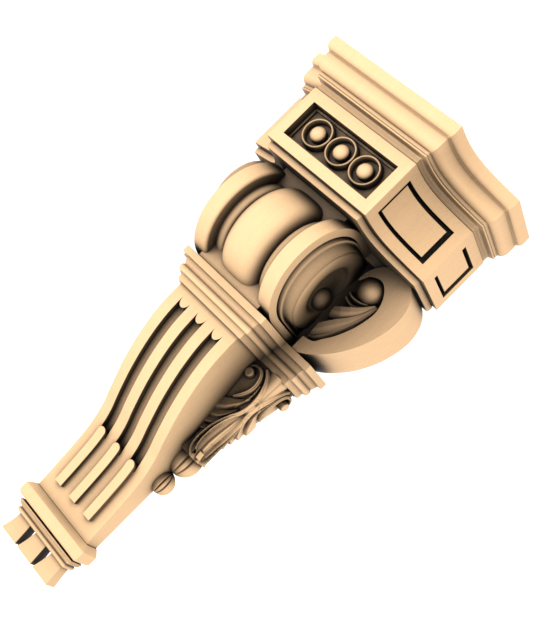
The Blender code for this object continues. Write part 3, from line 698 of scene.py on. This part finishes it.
def relief_solid(name, columns, rows, height, surface, back):
    """Closed solid whose front is a height over a grid. surface gives the place of a point,
    back the closing points behind each row."""
    points = surface(columns, rows, height)
    bm = bmesh.new()
    table = []
    for j in range(rows.shape[0]):
        ring = [bm.verts.new(at(*points[j, i])) for i in range(columns.shape[1])]
        ring += [bm.verts.new(at(*p)) for p in back(points[j, 0], points[j, -1])]
        table.append(ring)
    for low, high in zip(table, table[1:]):
        count = len(low)
        for i in range(count):
            k = (i + 1) % count
            bm.faces.new((low[i], low[k], high[k], high[i]))
    bm.faces.new(list(reversed(table[0])))
    bm.faces.new(table[-1])
    return from_bmesh(name, bm)


def wing_leaf():
    """Leaf lobes and the volute ball inside the C of a side wing."""
    edge = smooth_path(WING_EDGE, 10)[:60]
    levels = np.linspace(LEAF_LOW, LEAF_HIGH, 241)
    limit = np.interp(levels, [p[1] for p in edge], [p[0] for p in edge]) - 3.0
    limit = np.minimum(limit, LEAF_LIMIT)
    shares = np.linspace(0.0, 1.0, 111)
    columns = LEAF_EDGE + (limit[:, None] - LEAF_EDGE) * shares[None, :]
    rows = np.repeat(levels[:, None], len(shares), axis=1)
    height = np.full(columns.shape, 0.4)
    strands = [
        ([(48.0, 277.4), (53.6, 278.6), (58.6, 281.4), (64.9, 289.0), (71.3, 301.0),
          (76.5, 313.0), (79.7, 325.1), (80.4, 332.0)],
         [2.4, 2.6, 2.8, 2.8, 2.6, 2.2, 1.4, 0.7], [7.0, 8.0, 8.6, 9.0, 9.4, 9.8, 10.0, 9.6],
         tile_shape),
        ([(47.0, 280.0), (52.4, 284.0), (59.4, 291.4), (65.8, 299.6), (72.0, 308.4),
          (76.8, 318.6), (79.3, 328.9)],
         [5.0, 6.4, 7.2, 6.8, 5.2, 3.2, 1.2], [7.6, 9.2, 10.6, 11.2, 11.2, 10.8, 10.4],
         tile_shape),
        ([(47.0, 305.0), (52.4, 305.2), (60.5, 308.4), (66.9, 313.2), (72.2, 318.8),
          (77.9, 329.0)],
         [4.4, 5.2, 6.8, 6.6, 5.2, 1.8], [8.0, 9.8, 11.4, 11.8, 11.4, 10.6], tile_shape),
        ([(48.0, 326.4), (52.4, 321.3), (60.5, 318.6), (66.9, 321.1), (72.2, 325.5)],
         [2.0, 2.4, 2.6, 2.4, 1.6], [8.0, 8.6, 9.0, 9.0, 8.4], round_shape),
        ([(46.0, 331.0), (49.8, 327.8), (56.3, 324.2), (64.8, 324.4), (71.1, 326.6)],
         [1.8, 2.0, 2.2, 2.2, 1.6], [9.4, 9.8, 10.2, 10.0, 9.2], round_shape),
    ]
    for path, halves, heights, shape in strands:
        height = np.maximum(height, stroke(columns, rows, path, halves, heights, shape))
    dome = 1.0 - ((columns - WING_BALL[0]) / WING_BALL_RADII[0]) ** 2
    dome -= ((rows - WING_BALL[1]) / WING_BALL_RADII[1]) ** 2
    rise = 4.0 + WING_BALL_RISE * np.sqrt(np.clip(dome, 0.0, 1.0))
    height = np.where(dome > 0, np.maximum(height, rise), height)

    def surface(u, v, h):
        return np.stack([u, -LEAF_FLOOR - h, v], axis=-1)

    def back(first, last):
        return [(last[0], -20.0, last[2]), (first[0], -20.0, first[2])]

    return both_sides(relief_solid("wing_leaf", columns, rows, height, surface, back))


def bracket_surface(u, v, h):
    """Place on the bracket: u runs from the shaft (negative) round the corner to the wall."""
    heights, across, out = zip(*BRACKET)
    corner_x = np.interp(v, heights, across)
    corner_y = np.interp(v, heights, out)
    radius = BRACKET_ROUND
    turn = np.radians(np.clip(u / radius, -1.0, 1.0) * 45.0 - 45.0)
    x = corner_x - radius + (radius + h) * np.cos(turn)
    y = corner_y + radius + (radius + h) * np.sin(turn)
    run = np.clip((np.abs(u) - radius) / (FACE_SPAN - radius), 0.0, 1.0)
    x = np.where(u < -radius, corner_x - radius + (SHAFT_HALF - corner_x + radius) * run, x)
    y = np.where(u > radius, (corner_y + radius) * (1.0 - run), y)
    x = np.where(u > radius, corner_x + h, x)
    y = np.where(u < -radius, corner_y - h, y)
    return np.stack([x, y, v], axis=-1)


def bracket_leaf():
    """Acanthus on the bracket: central stem, two volutes and scalloped lobes to each side."""
    rows, columns = np.meshgrid(np.linspace(BRACKET_LOW, BRACKET_HIGH, 245),
                                np.linspace(-FACE_SPAN, FACE_SPAN, 139), indexing="ij")
    unit = FACE_SPAN / 10.0
    mirrored = np.abs(columns)
    height = np.zeros(columns.shape)
    parts = [
        ([(8.2, 169.4), (8.4, 165.6), (7.0, 162.4)], [2.4, 2.6, 1.6], [3.0, 3.0, 2.6],
         round_shape),
        ([(4.4, 181.0), (6.6, 175.6), (10.4, 173.0)], [0.8, 2.6, 3.0], [2.4, 3.0, 3.2],
         blade_shape),
        ([(3.4, 190.0), (6.0, 183.4), (10.4, 180.0)], [0.8, 3.2, 3.6], [2.8, 3.5, 3.7],
         blade_shape),
        ([(2.2, 202.0), (4.0, 195.0), (6.8, 189.6), (10.4, 187.0)], [0.8, 3.0, 4.2, 4.0],
         [3.0, 3.8, 4.2, 4.2], blade_shape),
        ([(2.0, 214.0), (4.2, 206.0), (7.2, 199.6), (10.6, 195.6)], [0.8, 3.6, 5.6, 5.8],
         [3.2, 4.2, 4.7, 4.7], blade_shape),
        ([(9.75, 228.6), (9.7, 232.2), (8.8, 235.0), (7.3, 235.8), (5.8, 234.2), (4.7, 230.4),
          (4.05, 224.0), (4.25, 217.9), (5.3, 212.0), (7.1, 206.6)],
         [1.0, 1.3, 1.6, 1.9, 2.2, 2.4, 2.5, 2.5, 2.3, 1.0],
         [4.6, 4.8, 5.0, 5.2, 5.2, 5.2, 5.2, 5.2, 5.2, 4.6], strand_shape),
        ([(2.9, 226.0), (2.35, 218.0), (2.5, 210.0), (3.6, 201.0)], [0.7, 0.9, 0.9, 0.6],
         [4.2, 4.4, 4.4, 4.0], round_shape),
        ([(5.0, 238.4), (3.6, 235.0), (2.2, 229.8), (1.25, 223.5), (0.75, 216.0), (0.6, 208.0),
          (0.9, 200.0), (1.8, 193.0), (3.2, 186.0), (4.5, 179.0), (5.35, 172.0), (5.7, 165.0),
          (5.3, 158.8), (4.1, 154.4), (2.4, 152.2)],
         [1.7, 1.9, 2.0, 2.0, 1.9, 1.8, 1.8, 1.8, 1.8, 1.8, 1.8, 1.8, 1.8, 1.7, 1.3],
         [5.0, 5.2, 5.4, 5.5, 5.6, 5.6, 5.8, 6.0, 6.0, 6.0, 6.0, 6.0, 5.8, 5.6, 5.2],
         strand_shape),
        ([(0.7, 204.0), (1.1, 195.0), (1.9, 186.0), (2.6, 178.0), (2.8, 170.0), (2.4, 163.0),
          (1.5, 157.5)], [0.7, 0.9, 1.1, 1.2, 1.2, 1.1, 0.9],
         [5.0, 5.2, 5.4, 5.4, 5.2, 5.0, 4.6], round_shape),
        ([(0.0, 200.0), (0.0, 188.0), (0.0, 174.0), (0.0, 160.0)], [0.5, 1.1, 1.4, 1.5],
         [4.4, 4.6, 4.6, 4.6], round_shape),
    ]
    bed = stroke(mirrored, rows, [(0.0, 224.0), (0.0, 200.0), (0.0, 185.0), (0.0, 170.0),
                                  (0.0, 158.0), (0.0, 152.0)],
                 [1.0, 3.4, 9.0, 14.0, 14.0, 9.0], [3.0, 2.8, 2.4, 2.2, 2.0, 2.0], flat_shape)
    height = np.maximum(height, bed)
    bract = mirrored / (1.6 + 0.46 * np.clip(rows - 218.0, 0.0, 23.0))
    height = np.maximum(height, 4.0 * np.clip(1.0 - bract ** 2, 0.0, 1.0) ** 0.5 * (rows > 214.0))
    flare = 1.6 * (np.clip(161.0 - rows, 0.0, 11.0) / 11.0) ** 1.7
    height = np.maximum(height, flare)
    for path, halves, heights, shape in parts:
        laid = [(u * unit, v) for u, v in path]
        height = np.maximum(height, stroke(mirrored, rows, laid, halves, heights, shape))
    tip = (mirrored < 1.4) & (rows > 152.8) & (rows < 158.6)
    height = np.where(tip, 6.0, height)
    dimple = np.hypot((mirrored - 4.6) / 1.8, (rows - 155.0) / 1.9)
    height -= 3.4 * np.clip(1.0 - dimple ** 2, 0.0, 1.0)
    eye = np.hypot(mirrored - VOLUTE_EYE[0] * unit, rows - VOLUTE_EYE[1])
    disc = 6.2 - 1.2 * np.clip((eye - 3.0) / 1.0, 0.0, 1.0) ** 2
    height = np.where(eye < 4.0, np.maximum(height, disc), height)

    def back(first, last):
        return [(last[0], -WALL_GAP, last[2]), (BRACKET_INSIDE, -WALL_GAP, last[2]),
                (BRACKET_INSIDE, first[1], first[2])]

    return both_sides(relief_solid("bracket_leaf", columns, rows, height, bracket_surface, back))


def bead(height, wide, tall):
    """Quarter ball in the corner of shaft and wall, with a raised band between two grooves."""
    count = 64
    slices = 40
    rings = []
    for k in range(1, slices):
        a = -math.pi / 2 + math.pi * k / slices
        fade = math.cos(a)
        ring = []
        for i in range(count + 1):
            degrees = -20.0 + 110.0 * i / count
            gap = abs(abs(degrees - BALL_BAND) - BALL_BAND_HALF) / BALL_GROOVE_WIDTH
            sunk = BALL_GROOVE_DEPTH * math.exp(-gap * gap) * min(1.0, max(0.0, fade - 0.3) * 3.0)
            radius = (wide - sunk) * fade
            turn = math.radians(degrees)
            ring.append((SHAFT_HALF + radius * math.sin(turn), -radius * math.cos(turn),
                         height + tall * math.sin(a)))
        ring.append((SHAFT_HALF - 6.0, -WALL_GAP, height + tall * math.sin(a)))
        rings.append(ring)
    return loft("bead", rings)


def noise(nodes, links, source, scale, detail):
    """Noise over the object, stretched by scale along x, y and z."""
    stretch = nodes.new("ShaderNodeMapping")
    stretch.inputs["Scale"].default_value = scale
    links.new(source, stretch.inputs["Vector"])
    texture = nodes.new("ShaderNodeTexNoise")
    texture.inputs["Scale"].default_value = 1.0
    texture.inputs["Detail"].default_value = detail
    texture.inputs["Roughness"].default_value = 0.6
    links.new(stretch.outputs["Vector"], texture.inputs["Vector"])
    return texture.outputs["Fac"]


def ramp(nodes, links, source, first, last):
    """Colours that run from first to last over the middle of a noise's range."""
    colours = nodes.new("ShaderNodeValToRGB")
    colours.color_ramp.elements[0].position = 0.3
    colours.color_ramp.elements[0].color = first
    colours.color_ramp.elements[1].position = 0.7
    colours.color_ramp.elements[1].color = last
    links.new(source, colours.inputs["Fac"])
    return colours.outputs["Color"]


def multiply(nodes, links, one, two):
    mix = nodes.new("ShaderNodeMix")
    mix.data_type = "RGBA"
    mix.blend_type = "MULTIPLY"
    mix.inputs[0].default_value = 1.0
    links.new(one, mix.inputs[6])
    links.new(two, mix.inputs[7])
    return mix.outputs[2]


def timber():
    """Pale even-grained timber, with painted shade that darkens its colour in hollows."""
    material = bpy.data.materials.new("timber")
    material.use_nodes = True
    nodes = material.node_tree.nodes
    links = material.node_tree.links
    shader = nodes["Principled BSDF"]
    shader.inputs["Specular IOR Level"].default_value = 0.2
    place = nodes.new("ShaderNodeTexCoord").outputs["Object"]
    grain = noise(nodes, links, place, GRAIN_SCALE, 5.0)
    pores = noise(nodes, links, place, PORE_SCALE, 2.0)
    colour = ramp(nodes, links, grain, WOOD_DARK, WOOD_LIGHT)
    speckle = ramp(nodes, links, pores, SPECKLE_DARK, WHITE)
    colour = multiply(nodes, links, colour, speckle)
    # painted shade: ambient occlusion, scaled and raised to a power, multiplies the base colour
    # darker in hollows and crevices
    hollow = nodes.new("ShaderNodeAmbientOcclusion")
    hollow.samples = 12
    hollow.inputs["Distance"].default_value = AO_REACH
    lift = nodes.new("ShaderNodeMath")
    lift.operation = "MULTIPLY"
    lift.use_clamp = True
    lift.inputs[1].default_value = AO_GAIN
    links.new(hollow.outputs["AO"], lift.inputs[0])
    painted_shade = nodes.new("ShaderNodeMath")
    painted_shade.operation = "POWER"
    painted_shade.inputs[1].default_value = AO_POWER
    links.new(lift.outputs[0], painted_shade.inputs[0])
    links.new(multiply(nodes, links, colour, painted_shade.outputs[0]), shader.inputs["Base Color"])
    rough = nodes.new("ShaderNodeMapRange")
    rough.inputs["To Min"].default_value = 0.58
    rough.inputs["To Max"].default_value = 0.72
    links.new(grain, rough.inputs["Value"])
    links.new(rough.outputs[0], shader.inputs["Roughness"])
    relief = nodes.new("ShaderNodeBump")
    relief.inputs["Strength"].default_value = 0.15
    relief.inputs["Distance"].default_value = PORE_DEPTH
    links.new(pores, relief.inputs["Height"])
    soft_edge = nodes.new("ShaderNodeBevel")
    soft_edge.samples = 4
    soft_edge.inputs["Radius"].default_value = EDGE_ROUND
    links.new(soft_edge.outputs["Normal"], relief.inputs["Normal"])
    links.new(relief.outputs["Normal"], shader.inputs["Normal"])
    return material


def finish_piece(piece, name, crease, material):
    """Shade a piece smooth, apart from creases sharper than the angle, and give it its finish."""
    piece.name = name
    piece.data.name = name
    piece.data.shade_smooth()
    piece.data.set_sharp_from_angle(angle=math.radians(crease))
    piece.data.materials.append(material)
    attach(piece, "root")


def build_corbel():
    material = timber()
    body = build_body()
    finish_piece(body, "carved_corbel", 32, material)
    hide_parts("corbel")
    finish_piece(wing_leaf(), "wing_leaves", 75, material)
    finish_piece(bracket_leaf(), "bracket_leaves", 75, material)
    for number, row in enumerate(BALLS):
        finish_piece(both_sides(bead(*row)), f"beads_{number + 1}", 60, material)


def add_camera():
    """Camera at the photograph's angle, rolled so that the corbel leans as it does there."""
    data = bpy.data.cameras.new("camera")
    data.lens = CAMERA_LENS
    data.sensor_fit = "AUTO"
    data.sensor_width = 36.0
    data.clip_start = 0.01
    turn = math.radians(CAMERA_TURN)
    rise = math.radians(CAMERA_RISE)
    roll = math.radians(CAMERA_ROLL)
    look = Vector((-math.sin(turn) * math.cos(rise), math.cos(turn) * math.cos(rise),
                   math.sin(rise)))
    level = Vector((math.cos(turn), math.sin(turn), 0.0))
    upright = level.cross(look)
    right = level * math.cos(roll) + upright * math.sin(roll)
    up = upright * math.cos(roll) - level * math.sin(roll)
    camera = bpy.data.objects.new("camera", data)
    matrix = Matrix((right, up, -look)).transposed().to_4x4()
    matrix.translation = at(*CAMERA_PLACE)
    camera.matrix_world = matrix
    bpy.context.scene.collection.objects.link(camera)
    bpy.context.scene.camera = camera


def add_key():
    """Broad soft light from the left of the front, a little below."""
    data = bpy.data.lights.new("key", "SUN")
    data.energy = KEY_STRENGTH
    data.angle = math.radians(KEY_SPREAD)
    light = bpy.data.objects.new("key", data)
    turn = math.radians(KEY_TURN)
    rise = math.radians(KEY_RISE)
    towards = Vector((math.sin(turn) * math.cos(rise), -math.cos(turn) * math.cos(rise),
                      math.sin(rise)))
    light.rotation_euler = towards.to_track_quat("Z", "Y").to_euler()
    bpy.context.scene.collection.objects.link(light)


def add_stage():
    """Plain pale floor well below the corbel."""
    bm = bmesh.new()
    bmesh.ops.create_grid(bm, x_segments=1, y_segments=1, size=FLOOR_HALF)
    bmesh.ops.translate(bm, vec=(0.0, 0.0, FLOOR_LEVEL), verts=bm.verts)
    floor = from_bmesh("floor", bm)
    material = bpy.data.materials.new("pale_floor")
    material.use_nodes = True
    shader = material.node_tree.nodes["Principled BSDF"]
    shader.inputs["Base Color"].default_value = (0.9, 0.9, 0.9, 1.0)
    shader.inputs["Roughness"].default_value = 0.9
    shader.inputs["Emission Color"].default_value = WHITE
    shader.inputs["Emission Strength"].default_value = 0.8
    floor.data.materials.append(material)
    floor.visible_diffuse = False


def add_world():
    """Even white surround, a little brighter where the camera sees it."""
    world = bpy.data.worlds.new("studio")
    bpy.context.scene.world = world
    world.use_nodes = True
    nodes = world.node_tree.nodes
    links = world.node_tree.links
    soft = nodes["Background"]
    soft.inputs["Color"].default_value = WHITE
    soft.inputs["Strength"].default_value = AMBIENT
    seen = nodes.new("ShaderNodeBackground")
    seen.inputs["Color"].default_value = WHITE
    seen.inputs["Strength"].default_value = BACKDROP
    path = nodes.new("ShaderNodeLightPath")
    mix = nodes.new("ShaderNodeMixShader")
    links.new(path.outputs["Is Camera Ray"], mix.inputs[0])
    links.new(soft.outputs[0], mix.inputs[1])
    links.new(seen.outputs[0], mix.inputs[2])
    links.new(mix.outputs[0], nodes["World Output"].inputs["Surface"])


build_corbel()
add_camera()
add_key()
add_stage()
add_world()
bpy.context.scene.view_settings.view_transform = "Standard"
